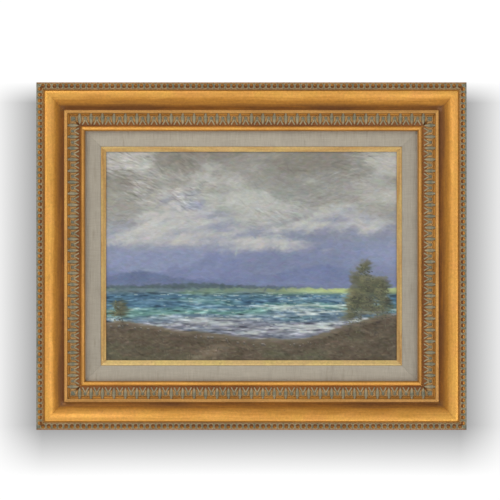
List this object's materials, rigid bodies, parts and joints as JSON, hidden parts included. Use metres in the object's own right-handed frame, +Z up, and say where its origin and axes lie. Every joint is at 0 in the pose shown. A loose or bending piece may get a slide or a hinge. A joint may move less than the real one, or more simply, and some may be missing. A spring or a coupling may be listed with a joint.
{
  "type": "framed oil painting",
  "caption": "Landscape-format oil painting on panel in a gilded wooden frame with an eyelet edge, a cove, a leaf-and-dart border, a linen liner and a narrow gilt slip.",
  "frame": {"origin": "middle notch of the sawtooth hanger, where the wall hook holds it, in the plane of the frame's back", "axes": "+X to the right as seen from the front, along the frame's width; +Y backwards into the wall, so the painting faces -Y; +Z up"},
  "size_m": [0.583, 0.045, 0.471],
  "materials": {
    "gilt_moulding": "gilded over red-brown bole, umber toned, raised ornament with a grey-green patina, bare wood back",
    "linen_liner": "natural linen glued over a wooden rail, matt",
    "gilt_slip": "gilded wood, soft satin",
    "oil_painting": "oil paint with low brushwork on a primed board, soft varnish",
    "plated_steel": "thin brass-toned plating, slightly dulled"
  },
  "bodies": {
    "root": {"frame_rail_top": "gilt_moulding", "frame_rail_bottom": "gilt_moulding", "frame_rail_left": "gilt_moulding", "frame_rail_right": "gilt_moulding", "liner_rail_top": "linen_liner", "liner_rail_bottom": "linen_liner", "liner_rail_left": "linen_liner", "liner_rail_right": "linen_liner", "slip_rail_top": "gilt_slip", "slip_rail_bottom": "gilt_slip", "slip_rail_left": "gilt_slip", "slip_rail_right": "gilt_slip", "painted_panel": "oil_painting", "sawtooth_hanger": "plated_steel", "hanger_screw_left": "plated_steel", "hanger_screw_right": "plated_steel"}
  },
  "joints": []
}
